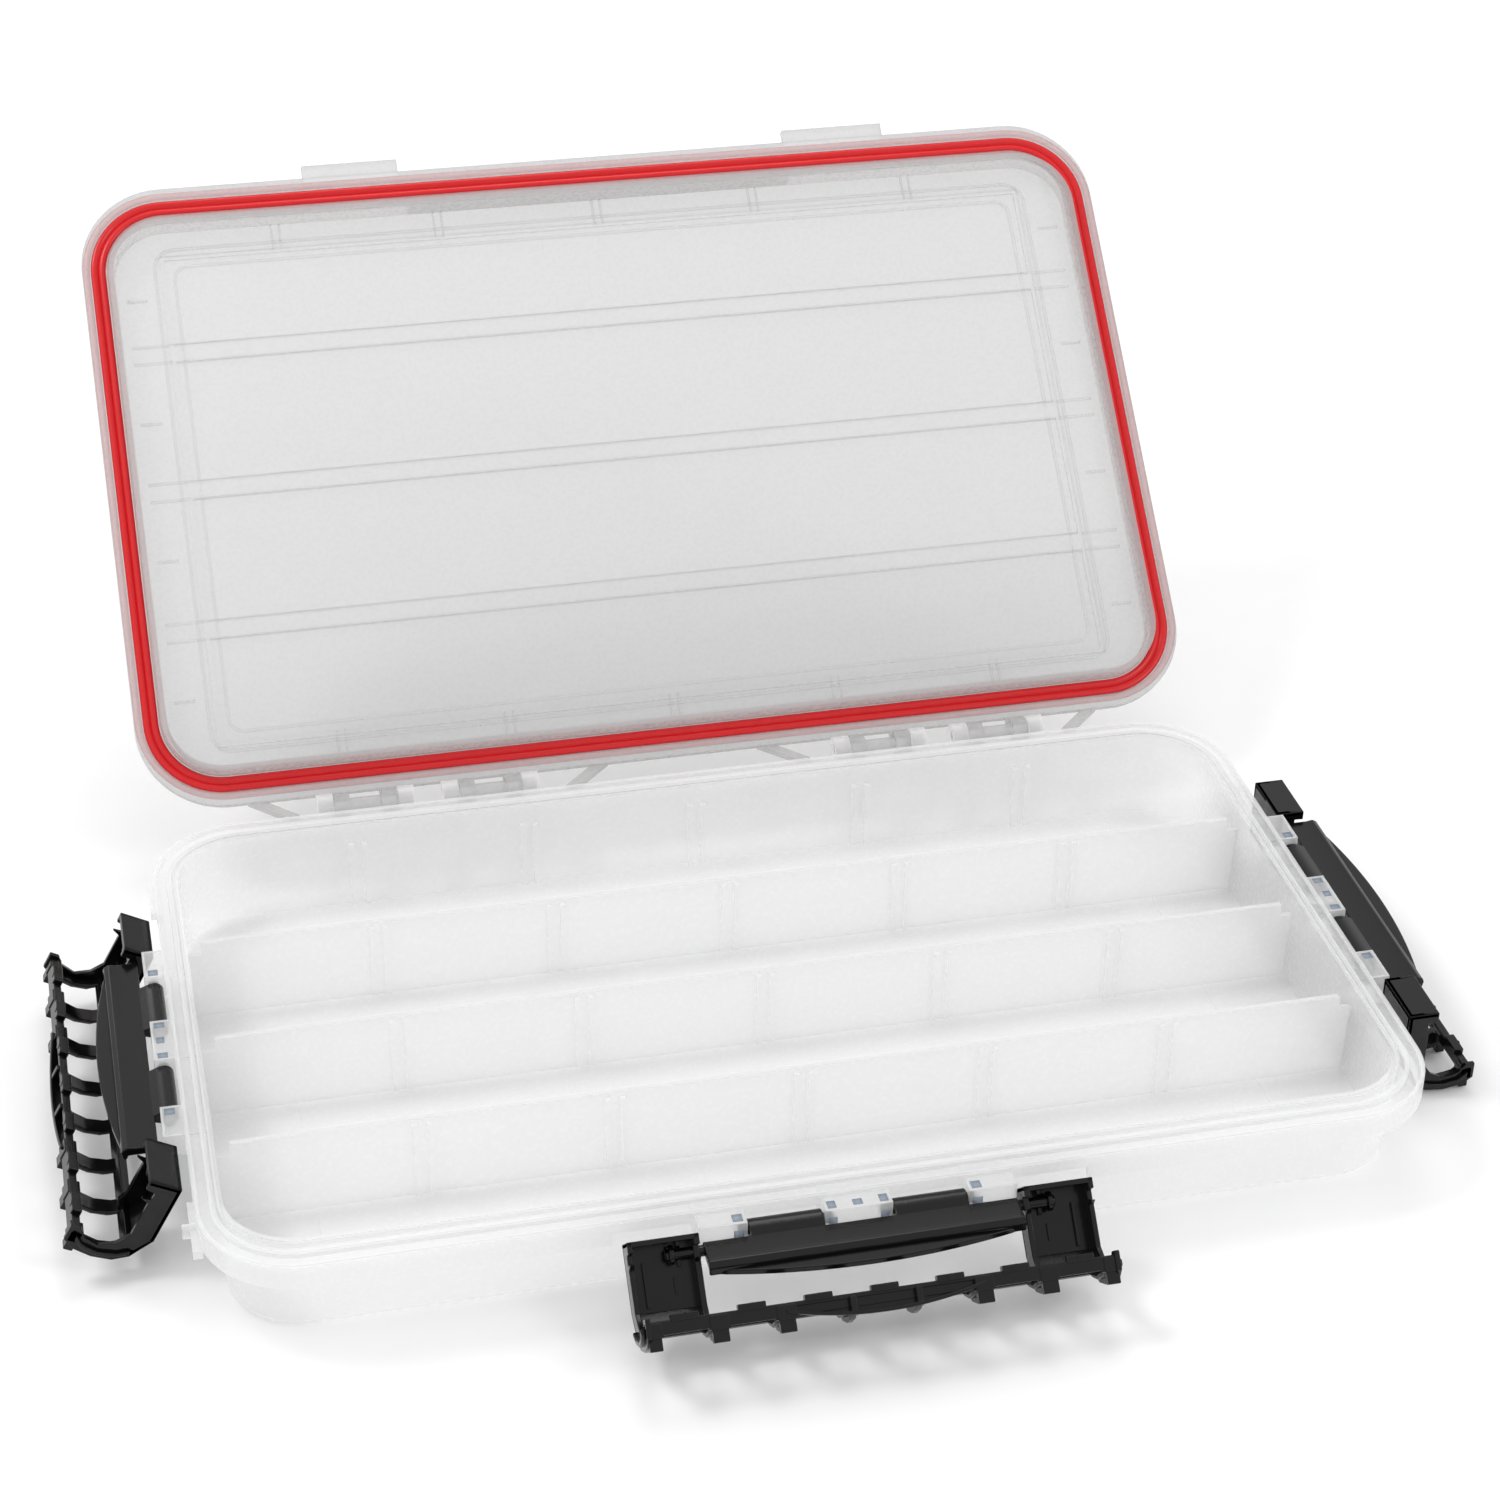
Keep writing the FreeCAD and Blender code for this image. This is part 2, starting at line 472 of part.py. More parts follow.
def latch_bail(side, turn, reach, angle):
    """The bail, drawn standing up: +Z away from its pins, +Y to its inner side, pins on the X axis."""
    name = side + "_latch_bail"
    parts = []
    for end in (-1, 1):
        def across(near, far):
            low, high = ("-(%s)" % far, "-(%s)" % near) if end < 0 else (near, far)
            return low, high
        x0, x1 = across("block_near", "block_far")
        parts.append(box(x0, x1, "-4.6", "-3.2", "-4.5", "14.0"))
        parts.append(profile([(-4.6, 13.6), (-3.2, 13.6), (0.6, 19.4), (-0.4, 20.6)], x0, x1))
        parts.append(box(x0, x1, "-4.6", "4.4", "-4.5", "-3.1"))
        x0, x1 = across("block_far - 1.4", "block_far")
        parts.append(profile(END_PLATE, x0, x1))
        x0, x1 = across("block_near", "block_near + 1.6")
        parts.append(profile(INNER_PLATE, x0, x1))
        x0, x1 = across("block_near + 6", "block_near + 7.2")
        parts.append(box(x0, x1, "-3.4", "-2.0", "6", "12"))
    parts.append(profile([(-1.4, 17.6), (1.2, 17.6), (2.0, 20.2), (0.0, 20.6)], "-block_far", "block_far"))
    parts.append(box("-block_far", "block_far", "15.0", "16.8", "15.4", "20.4"))
    for k in range(8):
        middle = "(%s * rib_pitch)" % (k - 3.5)
        parts.append(profile(RIB_BAND, middle + " - 1.9", middle + " + 1.9"))
        parts.append(profile(RIB_WEB, middle + " - 0.7", middle + " + 0.7"))
        low, high = middle + " - 2.3", middle + " + 2.3"
        if k in (0, 7):
            low, high = ("-block_far", "-block_far + 3.6") if k == 0 else ("block_far - 3.6", "block_far")
        parts.append(box(low, high, "14.4", "17.8", "15.4", "21.6"))
    for k in range(7):
        middle = "(%s * rib_pitch)" % (k - 3)
        parts.append(box(middle + " - 3.5", middle + " + 3.5", "-2.4", "1.0", "16.6", "18.0"))
    arch = crescent(26.0, 3.6, 0, -1.0, 0, name + "_arch")
    arch.Placement = FreeCAD.Placement(FreeCAD.Vector(0, 16.4, 20.4),
                                       FreeCAD.Rotation(FreeCAD.Vector(0, 0, 1), 180))
    parts.append(arch)
    for middle in (-9, 9):
        parts.append(profile([(16.4, 16.6), (19.2, 19.9), (16.4, 20.2)], "%s - 0.7" % middle, "%s + 0.7" % middle))
    parts.append(profile([(16.4, 16.8), (17.6, 16.8), (18.2, 17.4), (16.4, 17.6)], "-25", "25"))
    clips = []
    for end in (-1, 1):
        low, high = ("-(block_near + 2)", "-(block_near - 1)") if end < 0 else ("block_near - 1", "block_near + 2")
        clips.append(rod(low, high, "0", "0", "pin_radius + pin_fit"))
        clips.append(box(low, high, "0", "6", "-1.05", "1.05"))
        low, high = ("-(block_far + 1)", "-(block_far - 2)") if end < 0 else ("block_far - 2", "block_far + 1")
        clips.append(rod(low, high, "0", "0", "1.9"))
        clips.append(box(low, high, "0", "6", "-0.9", "0.9"))
    bail = cut(fuse(parts, name + "_solid"), fuse(clips, name + "_clips"), name)
    # standing up is 90 degrees; lean it out to its own angle about the pins
    lean = FreeCAD.Placement(FreeCAD.Vector(0, -value("pin_out"), value("pin_high")),
                             FreeCAD.Rotation(FreeCAD.Vector(1, 0, 0), 90 - angle))
    bail.Placement = latch_frame(turn, reach).multiply(lean)
    return bail


for side, turn, reach in LATCHES:
    NODES.append(latch_plate(side, turn, reach))
    NODES.append(latch_bail(side, turn, reach, value(side + "_angle")))

doc.recompute()
for item in doc.Objects:
    if "Invalid" in item.State or "Error" in item.State:
        raise RuntimeError("%s is %s" % (item.Name, item.State))
for node in NODES:
    node.Label = node.Name
    shape = node.Shape
    if shape.isNull() or not shape.isValid():
        raise RuntimeError(node.Name + " has no valid shape")
    solids = len(shape.Solids)
    reach, volume = shape.BoundBox, shape.Volume
    print("%-20s solids %d volume %9.0f  x %.1f..%.1f y %.1f..%.1f z %.1f..%.1f" % (
        node.Name, solids, volume, reach.XMin, reach.XMax, reach.YMin, reach.YMax, reach.ZMin, reach.ZMax))
    if solids != 1:
        raise RuntimeError(node.Name + " is not one solid")
    shape.exportStep("parts/%s.step" % node.Name)
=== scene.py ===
import math

import bmesh
import bpy
from mathutils import Matrix, Vector


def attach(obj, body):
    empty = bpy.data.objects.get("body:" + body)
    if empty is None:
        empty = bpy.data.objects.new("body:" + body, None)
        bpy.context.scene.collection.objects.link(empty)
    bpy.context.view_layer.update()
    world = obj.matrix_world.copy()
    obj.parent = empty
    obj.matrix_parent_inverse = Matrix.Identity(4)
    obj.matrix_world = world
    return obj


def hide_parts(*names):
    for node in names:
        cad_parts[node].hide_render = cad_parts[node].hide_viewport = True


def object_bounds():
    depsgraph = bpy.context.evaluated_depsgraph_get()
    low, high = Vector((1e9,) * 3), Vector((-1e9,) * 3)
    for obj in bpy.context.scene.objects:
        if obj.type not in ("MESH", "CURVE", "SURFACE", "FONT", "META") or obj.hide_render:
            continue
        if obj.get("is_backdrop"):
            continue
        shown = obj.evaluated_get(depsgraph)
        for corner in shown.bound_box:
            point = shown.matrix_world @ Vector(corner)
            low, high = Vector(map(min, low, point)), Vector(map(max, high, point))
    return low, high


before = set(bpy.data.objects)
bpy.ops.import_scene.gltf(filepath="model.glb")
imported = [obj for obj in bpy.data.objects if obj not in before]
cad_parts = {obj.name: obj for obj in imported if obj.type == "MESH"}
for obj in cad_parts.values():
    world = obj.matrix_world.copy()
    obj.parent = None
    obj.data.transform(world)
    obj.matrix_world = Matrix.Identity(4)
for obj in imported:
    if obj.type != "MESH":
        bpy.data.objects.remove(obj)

START_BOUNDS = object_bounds()
MM = 0.001


# ---------------------------------------------------------------- materials
def new_material(name):
    """An empty node material and its helper for adding nodes."""
    material = bpy.data.materials.new(name)
    material.use_nodes = True
    tree = material.node_tree
    tree.nodes.clear()

    def add(kind, **settings):
        node = tree.nodes.new(kind)
        for key, setting in settings.items():
            if key in node.inputs:
                node.inputs[key].default_value = setting
            else:
                setattr(node, key, setting)
        return node

    return material, tree.links, add


def surface_grain(links, add, scale, strength, distance):
    """A fine noise and the bump made from it, which breaks up the reflections."""
    place = add("ShaderNodeTexCoord")
    noise = add("ShaderNodeTexNoise", Scale=scale, Detail=3.0)
    bump = add("ShaderNodeBump", Strength=strength, Distance=distance)
    links.new(place.outputs["Object"], noise.inputs["Vector"])
    links.new(noise.outputs["Fac"], bump.inputs["Height"])
    return noise, bump


def clear_plastic(name, tint, painted_edge_shade, dense, thin, rough):
    """Frosted moulded plastic: see-through face on and milky towards its edges, with painted shade that
    darkens its colour where it is seen edge-on.
    """
    material, links, add = new_material(name)
    noise, bump = surface_grain(links, add, 700.0, 0.05, 0.0003)
    weight = add("ShaderNodeLayerWeight", Blend=0.42)
    amount = add("ShaderNodeMapRange")
    amount.inputs["To Min"].default_value = thin
    amount.inputs["To Max"].default_value = dense
    links.new(weight.outputs["Facing"], amount.inputs["Value"])
    cloud = add("ShaderNodeMapRange")
    cloud.inputs["From Min"].default_value = 0.3
    cloud.inputs["From Max"].default_value = 0.7
    cloud.inputs["To Min"].default_value = rough - 0.05
    cloud.inputs["To Max"].default_value = rough + 0.05
    links.new(noise.outputs["Fac"], cloud.inputs["Value"])
    # painted shade: the colour turns to the darker edge colour where the surface is seen edge-on
    shade = add("ShaderNodeMixRGB", Color1=tint, Color2=painted_edge_shade)
    links.new(weight.outputs["Facing"], shade.inputs["Fac"])
    body = add("ShaderNodeBsdfPrincipled", Roughness=rough)
    body.inputs["IOR"].default_value = 1.49
    links.new(shade.outputs["Color"], body.inputs["Base Color"])
    links.new(cloud.outputs["Result"], body.inputs["Roughness"])
    links.new(bump.outputs["Normal"], body.inputs["Normal"])
    glow = add("ShaderNodeBsdfTranslucent")
    links.new(shade.outputs["Color"], glow.inputs["Color"])
    milk = add("ShaderNodeMixShader", Fac=0.45)
    links.new(body.outputs["BSDF"], milk.inputs[1])
    links.new(glow.outputs["BSDF"], milk.inputs[2])
    clear = add("ShaderNodeBsdfTransparent")
    clear.inputs["Color"].default_value = (0.985, 0.985, 0.985, 1)
    mix = add("ShaderNodeMixShader")
    links.new(amount.outputs["Result"], mix.inputs["Fac"])
    links.new(clear.outputs["BSDF"], mix.inputs[1])
    links.new(milk.outputs["Shader"], mix.inputs[2])
    out = add("ShaderNodeOutputMaterial")
    links.new(mix.outputs["Shader"], out.inputs["Surface"])
    return material


def solid_plastic(name, colour, rough, coat, grain, subsurface=0.0):
    """Coloured moulded plastic, with a fine grain in its colour and gloss."""
    material, links, add = new_material(name)
    noise, bump = surface_grain(links, add, grain, 0.06, 0.0003)
    cloud = add("ShaderNodeMapRange")
    cloud.inputs["To Min"].default_value = rough - 0.06
    cloud.inputs["To Max"].default_value = rough + 0.06
    links.new(noise.outputs["Fac"], cloud.inputs["Value"])
    shade = add("ShaderNodeMixRGB", blend_type="MULTIPLY", Fac=0.18)
    shade.inputs["Color1"].default_value = colour
    links.new(noise.outputs["Fac"], shade.inputs["Color2"])
    body = add("ShaderNodeBsdfPrincipled", Roughness=rough)
    body.inputs["Specular IOR Level"].default_value = 0.3
    body.inputs["Coat Weight"].default_value = coat
    body.inputs["Coat Roughness"].default_value = 0.12
    body.inputs["Subsurface Weight"].default_value = subsurface
    body.inputs["Subsurface Scale"].default_value = 0.002
    links.new(shade.outputs["Color"], body.inputs["Base Color"])
    links.new(cloud.outputs["Result"], body.inputs["Roughness"])
    links.new(bump.outputs["Normal"], body.inputs["Normal"])
    out = add("ShaderNodeOutputMaterial")
    links.new(body.outputs["BSDF"], out.inputs["Surface"])
    return material


# the second colour of each clear plastic is painted edge shade, darker where a surface is seen edge-on
TRAY = clear_plastic("tray_clear", (0.985, 0.985, 0.985, 1), (0.94, 0.942, 0.945, 1), 0.72, 0.30, 0.26)
RIM = clear_plastic("tray_rim", (0.99, 0.99, 0.99, 1), (0.90, 0.91, 0.92, 1), 0.62, 0.22, 0.16)
# blue-grey painted shade for the dark pins and their shadows seen through the clear lugs
PIN_SHADE = clear_plastic("tray_pin_shade", (0.42, 0.50, 0.60, 1), (0.26, 0.33, 0.42, 1), 0.78, 0.55, 0.16)
LID = clear_plastic("lid_clear", (0.62, 0.62, 0.62, 1), (0.56, 0.56, 0.56, 1), 0.72, 0.38, 0.28)
# a lighter copy of the lid plastic: painted highlight on the lid's ridges
RIDGE_HIGHLIGHT = clear_plastic("lid_ridge", (0.86, 0.86, 0.86, 1), (0.74, 0.74, 0.74, 1), 0.40, 0.16, 0.24)
# pink painted glow: the red seal's light in the clear lid beside it
SEAL_GLOW = clear_plastic("lid_seal_glow", (0.86, 0.60, 0.60, 1), (0.72, 0.42, 0.43, 1), 0.60, 0.34, 0.28)
SEAL = solid_plastic("gasket_red", (0.71, 0.009, 0.013, 1), 0.34, 0.2, 900.0, 0.1)
LATCH = solid_plastic("latch_black", (0.004, 0.0038, 0.0038, 1), 0.18, 0.0, 1400.0)


# ---------------------------------------------------------------- finishes on the frame's own nodes
def dress(node, material):
    """Puts a material on a node of the frame, smooth except across its sharp edges."""
    node.data.materials.clear()
    node.data.materials.append(material)
    for face in node.data.polygons:
        face.use_smooth = True
    node.data.set_sharp_from_angle(angle=math.radians(32))


for name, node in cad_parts.items():
    if name == "gasket":
        dress(node, SEAL)
    elif name == "lid":
        dress(node, LID)
    elif "latch" in name:
        dress(node, LATCH)
    else:
        dress(node, TRAY)


# ---------------------------------------------------------------- latches, in each latch's own place
SIDES = {"front": (0, (0, -103.0)), "right": (90, (168.0, 0)), "left": (-90, (-168.0, 0))}
# how far each open bail hangs from level, in degrees
BAIL_ANGLE = {"front": -46.0, "right": -90.0, "left": -61.0}
PIVOT_OUT, PIVOT_HIGH, PIN_OUT, PIN_HIGH = 3.2, 24.6, 8.4, 24.0
PIN_RADIUS, COLLAR_RADIUS, BARREL_RADIUS = 1.5, 2.6, 2.6
BLOCK_NEAR, BLOCK_FAR, BLOCK_BACK, BLOCK_LOW = 43.2, 62.0, -4.6, -4.5
RIB_COUNT, RIB_PITCH, POCKET_HALF, POCKET_DROP = 8, 17.24, 26.0, 3.2
PLATE_HALF, PLATE_HALF_THICK, GRIP_HALF, GRIP_DEPTH = 42.0, 1.2, 40.0, 4.4
LUG_HALF, LUG_NEAR, LUG_FAR, LUG_OUT, LUG_TOP = 9.0, 29.7, 42.6, 5.6, 28.6
# (y, z) outlines in a bail's own frame: Z away from its pins, Y towards the box when closed
END_PLATE = [(-4.6, -4.5), (4.4, -4.5), (4.4, -1.6), (1.6, -1.2), (1.6, 1.2), (4.4, 1.4),
             (2.0, 2.6), (2.0, 13.6), (4.6, 17.2), (8.6, 19.4), (13.0, 18.0), (15.0, 15.4),
             (17.8, 15.4), (17.8, 20.4), (14.6, 22.6), (9.0, 23.5), (3.4, 22.9), (-0.6, 20.4),
             (-4.6, 13.6)]
INNER_PLATE = [(-4.6, -4.5), (4.4, -4.5), (4.4, -1.6), (1.7, -1.7), (1.7, 1.7), (4.4, 1.4),
               (2.0, 2.6), (2.0, 13.6), (3.4, 16.4), (1.6, 20.4), (-0.4, 20.6), (-4.6, 13.6)]
RIB_BAND = [(0.2, 17.9), (3.4, 19.9), (8.0, 20.8), (12.6, 19.9), (15.4, 17.6), (15.4, 19.2),
            (12.6, 21.2), (8.0, 22.0), (3.4, 21.1), (0.2, 19.2)]
RIB_WEB = [(0.2, 18.4), (3.4, 20.4), (8.0, 21.3), (12.6, 20.4), (15.4, 18.2), (15.4, 21.4),
           (12.6, 22.8), (8.0, 23.5), (3.4, 22.8), (0.2, 20.4)]


class Builder:
    """Collects closed solids in millimetres and makes one mesh piece of them."""

    def __init__(self):
        self.mesh = bmesh.new()

    def prism(self, points, x0, x1):
        """A polygon of (y, z) points pushed along X."""
        near = [self.mesh.verts.new((x0, y, z)) for y, z in points]
        far = [self.mesh.verts.new((x1, y, z)) for y, z in points]
        count = len(points)
        for k in range(count):
            j = (k + 1) % count
            self.mesh.faces.new((near[k], near[j], far[j], far[k]))
        self.mesh.faces.new(near[::-1])
        self.mesh.faces.new(far)

    def box(self, x0, x1, y0, y1, z0, z1):
        """A plain block between two corners."""
        self.prism([(y0, z0), (y1, z0), (y1, z1), (y0, z1)], x0, x1)

    def level(self, points, z0, z1):
        """A polygon of (x, y) points pushed along Z."""
        low = [self.mesh.verts.new((x, y, z0)) for x, y in points]
        high = [self.mesh.verts.new((x, y, z1)) for x, y in points]
        count = len(points)
        for k in range(count):
            j = (k + 1) % count
            self.mesh.faces.new((low[k], low[j], high[j], high[k]))
        self.mesh.faces.new(low[::-1])
        self.mesh.faces.new(high)

    def upright(self, points, y0, y1):
        """A polygon of (x, z) points pushed along Y."""
        near = [self.mesh.verts.new((x, y0, z)) for x, z in points]
        far = [self.mesh.verts.new((x, y1, z)) for x, z in points]
        count = len(points)
        for k in range(count):
            j = (k + 1) % count
            self.mesh.faces.new((near[k], near[j], far[j], far[k]))
        self.mesh.faces.new(near[::-1])
        self.mesh.faces.new(far)

    def disk(self, x, z, y0, y1, radius, steps=20):
        """A round disk along Y."""
        turns = [2 * math.pi * k / steps for k in range(steps)]
        self.upright([(x + radius * math.cos(t), z + radius * math.sin(t)) for t in turns], y0, y1)

    def rod(self, x0, x1, y, z, radius, steps=28):
        """A round rod along X."""
        turns = [2 * math.pi * k / steps for k in range(steps)]
        self.prism([(y + radius * math.cos(t), z + radius * math.sin(t)) for t in turns], x0, x1)

    def finish(self, name, material, place, bevel, segments=2):
        """Turns the solids into a piece at its place, with its edges rounded by bevel millimetres."""
        bmesh.ops.recalc_face_normals(self.mesh, faces=self.mesh.faces)
        mesh = bpy.data.meshes.new(name)
        self.mesh.to_mesh(mesh)
        self.mesh.free()
        mesh.transform(place)
        mesh.materials.append(material)
        for face in mesh.polygons:
            face.use_smooth = True
        piece = bpy.data.objects.new(name, mesh)
        bpy.context.scene.collection.objects.link(piece)
        if bevel:
            round_off = piece.modifiers.new("edges", "BEVEL")
            round_off.width = bevel * MM
            round_off.segments = segments
            round_off.limit_method = "ANGLE"
            round_off.angle_limit = math.radians(35)
            round_off.harden_normals = True
        return piece


def latch_place(side):
    """From a latch's frame (X along it, -Y outward from the rim) in millimetres to the scene."""
    turn_deg, (x, y) = SIDES[side]
    turned = Matrix.Rotation(math.radians(turn_deg), 4, "Z")
    return Matrix.Scale(MM, 4) @ Matrix.Translation((x, y, 0)) @ turned


def spans(low, high):
    """The same span on both halves of a latch."""
    return ((-high, -low), (low, high))


def pocket(b):
    """The finger grip in the middle of a bail: a lens-shaped rim around three cells."""
    steps = 24
    inner, outer = [], []
    for k in range(steps + 1):
        x = -POCKET_HALF + 2 * POCKET_HALF * k / steps
        drop = POCKET_DROP * (1 - (x / POCKET_HALF) ** 2)
        inner.append((x, 18.0 + drop))
        outer.append((x, 19.0 + drop))
    b.upright(inner[::-1] + outer, 14.9, 17.8)
    b.upright([(-POCKET_HALF, 17.4)] + outer + [(POCKET_HALF, 17.4)], 14.9, 15.5)
    for middle in (-RIB_PITCH / 2, RIB_PITCH / 2):
        b.box(middle - 0.9, middle + 0.9, 15.3, 17.6, 17.0, 21.4)


def bail(side):
    """A latch's bail: two blocks, a ladder of ribs between two bars, hooks, pads and a finger grip."""
    b = Builder()
    for x0, x1 in spans(BLOCK_NEAR, BLOCK_FAR):
        b.box(x0, x1, BLOCK_BACK, -3.2, BLOCK_LOW, 14.0)
        b.prism([(BLOCK_BACK, 13.6), (-3.2, 13.6), (0.6, 19.4), (-0.4, 20.6)], x0, x1)
        b.box(x0, x1, BLOCK_BACK, 4.4, BLOCK_LOW, -3.1)
    for x0, x1 in spans(BLOCK_FAR - 1.4, BLOCK_FAR):
        b.prism(END_PLATE, x0, x1)
    for x0, x1 in spans(BLOCK_NEAR, BLOCK_NEAR + 1.6):
        b.prism(INNER_PLATE, x0, x1)
    b.prism([(-1.4, 17.6), (1.2, 17.6), (2.0, 20.2), (0.0, 20.6)], -BLOCK_FAR, BLOCK_FAR)
    b.box(-BLOCK_FAR, BLOCK_FAR, 14.6, 15.6, 16.4, 20.0)
    for x0, x1, z1 in ((-BLOCK_FAR, -POCKET_HALF, 20.0), (-POCKET_HALF, POCKET_HALF, 17.6),
                       (POCKET_HALF, BLOCK_FAR, 20.0)):
        b.box(x0, x1, 15.2, 16.9, 16.4, z1)
    for k in range(RIB_COUNT):
        middle = (k - 3.5) * RIB_PITCH
        b.prism(RIB_BAND, middle - 2.7, middle + 2.7)
        b.prism(RIB_WEB, middle - 0.9, middle + 0.9)
        low, high = middle - 2.6, middle + 2.6
        if k == 0:
            low, high = -BLOCK_FAR, -BLOCK_FAR + 4.4
        if k == RIB_COUNT - 1:
            low, high = BLOCK_FAR - 4.4, BLOCK_FAR
        if k not in (3, 4):
            b.box(low, high, 13.6, 17.2, 16.8, 20.6)
            b.box(low + 0.5, high - 0.5, 14.0, 16.6, 20.0, 23.8)
    for k in range(RIB_COUNT - 1):
        middle = (k - 3) * RIB_PITCH
        b.box(middle - 3.6, middle + 3.6, 14.4, 17.2, 15.1, 17.0)
    pocket(b)
    fine = Builder()
    for x0, x1 in spans(BLOCK_NEAR + 6.4, BLOCK_NEAR + 7.0):
        fine.box(x0, x1, -3.3, -2.7, 5.5, 10.0)
    for x0, x1 in spans(BLOCK_FAR - 5.0, BLOCK_FAR - 4.0):
        fine.box(x0, x1, -3.3, -2.2, 1.0, 12.5)
    for x0, x1 in spans(BLOCK_NEAR + 4.6, BLOCK_NEAR + 5.6):
        fine.prism([(-3.3, -3.2), (-0.4, -3.2), (-2.4, 3.2), (-3.3, 3.2)], x0, x1)
    for k in range(RIB_COUNT - 1):
        fine.disk((k - 3) * RIB_PITCH, 16.0, 17.1, 17.35, 0.95)
    leant = Matrix.Rotation(math.radians(90 - BAIL_ANGLE[side]), 4, "X")
    lean = Matrix.Translation((0, -PIN_OUT, PIN_HIGH)) @ leant
    piece = b.finish(side + "_bail_moulding", LATCH, latch_place(side) @ lean, 0.5, 3)
    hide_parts(side + "_latch_bail")
    marks = fine.finish(side + "_bail_marks", LATCH, latch_place(side) @ lean, 0.12)
    for item in (piece, marks):
        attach(item, side + "_bail_body")


def plate_profile():
    """The (y, z) outline of the plate: a flat slab with a rounded lip along its far edge."""
    low, high = PIVOT_HIGH - PLATE_HALF_THICK, PIVOT_HIGH + PLATE_HALF_THICK
    return [(-7.1, low), (-7.1, high), (-13.2, high), (-15.2, high + 0.35), (-16.6, high - 0.4),
            (-17.0, high - 1.4), (-16.6, low - 1.0), (-15.6, low - 1.2), (-15.0, low)]


def plate(side):
    """A latch's plate: the slab, two barrels between the lugs, its pins and a curved finger lip."""
    b = Builder()
    low, high = PIVOT_HIGH - PLATE_HALF_THICK, PIVOT_HIGH + PLATE_HALF_THICK
    b.prism(plate_profile(), -PLATE_HALF, PLATE_HALF)
    for x0, x1 in spans(9.4, 29.3):
        barrel = []
        for k in range(13):
            angle = math.radians(15 * k)
            barrel.append((-PIVOT_OUT + BARREL_RADIUS * math.sin(angle),
                           PIVOT_HIGH - BARREL_RADIUS * math.cos(angle)))
        outline = [(-7.6, low)] + barrel + [(-4.4, high + 1.25), (-5.8, high + 0.7), (-7.6, high)]
        b.prism(outline, x0, x1)
    for x0, x1 in spans(6.6, 31.7):
        b.rod(x0, x1, -PIVOT_OUT, PIVOT_HIGH, PIN_RADIUS)
    for x0, x1 in spans(41.0, 52.0):
        b.rod(x0, x1, -PIN_OUT, PIN_HIGH, PIN_RADIUS)
    for x0, x1 in spans(49.8, 51.2):
        b.rod(x0, x1, -PIN_OUT, PIN_HIGH, COLLAR_RADIUS)
    steps = 36
    grip = [(GRIP_HALF, -16.4), (-GRIP_HALF, -16.4)]
    for k in range(1, steps):
        x = -GRIP_HALF + 2 * GRIP_HALF * k / steps
        grip.append((x, -16.6 - GRIP_DEPTH * (1 - (x / GRIP_HALF) ** 2)))
    b.level(grip, 22.4, 24.1)
    for x in (-26.5, -16.5, 16.5, 26.5):
        b.box(x - 3.6, x + 3.6, -12.6, -8.0, low - 0.5, low + 0.4)
    piece = b.finish(side + "_plate_moulding", LATCH, latch_place(side), 0.45, 3)
    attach(piece, side + "_plate_body")
    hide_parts(side + "_latch_plate")


def lugs(side):
    """Bright edges on the tray's clear lugs, and thin blue-grey marks on the lugs' top and front faces:
    painted shade for the dark pins and their shadows seen through the clear plastic.
    """
    edges, pin_shades = Builder(), Builder()
    for x0, x1 in ((-LUG_FAR, -LUG_NEAR), (-LUG_HALF, LUG_HALF), (LUG_NEAR, LUG_FAR)):
        edges.box(x0, x1, -LUG_OUT, -LUG_OUT + 0.7, LUG_TOP - 0.1, LUG_TOP + 0.25)
        for low in (x0, x1 - 0.7):
            edges.box(low, low + 0.7, -LUG_OUT, -0.2, LUG_TOP - 0.1, LUG_TOP + 0.25)
    # painted shade: thin blue-grey sheets where the pins and their shadows show through the lugs
    for x0, x1 in spans(LUG_HALF - 3.2, LUG_HALF - 0.9) + spans(LUG_NEAR + 0.9, LUG_NEAR + 3.6):
        pin_shades.box(x0, x1, -PIVOT_OUT - 1.3, -PIVOT_OUT + 1.5, LUG_TOP - 0.05, LUG_TOP + 0.08)
        pin_shades.box(x0, x1, -LUG_OUT - 0.08, -LUG_OUT + 0.05, PIVOT_HIGH - 1.4, PIVOT_HIGH + 1.8)
    pin_shades.box(-1.3, 1.3, -PIVOT_OUT - 1.2, -PIVOT_OUT + 1.0, LUG_TOP - 0.05, LUG_TOP + 0.08)
    place = latch_place(side)
    for piece in (edges.finish(side + "_lug_edges", RIM, place, 0.1, 1),
                  pin_shades.finish(side + "_lug_pin_shades", PIN_SHADE, place, 0)):
        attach(piece, "tray_body")


for side in SIDES:
    bail(side)
    plate(side)
    lugs(side)


# ---------------------------------------------------------------- lid and tray details
HINGE = Vector((0, 107.5, 28.5))
OPEN_ANGLE = 137.6
DIVIDER_LINES = (45.8, -0.6, -47.0)
OPEN = (Matrix.Scale(MM, 4) @ Matrix.Translation(HINGE) @ Matrix.Rotation(math.radians(-OPEN_ANGLE), 4, "X")
        @ Matrix.Translation(-HINGE))
STRAIGHT = Matrix.Scale(MM, 4)


def rounded_path(length, width, radius, shift, steps=16):
    """Points and outward directions around a rounded rectangle."""
    path = []
    hx, hy = length / 2 - radius, width / 2 - radius
    for k, (cx, cy) in enumerate(((hx, hy), (-hx, hy), (-hx, -hy), (hx, -hy))):
        for j in range(steps + 1):
            angle = math.radians(90 * k + 90 * j / steps)
            out = (math.cos(angle), math.sin(angle))
            path.append(((cx + radius * out[0], cy + shift + radius * out[1]), out))
    return path


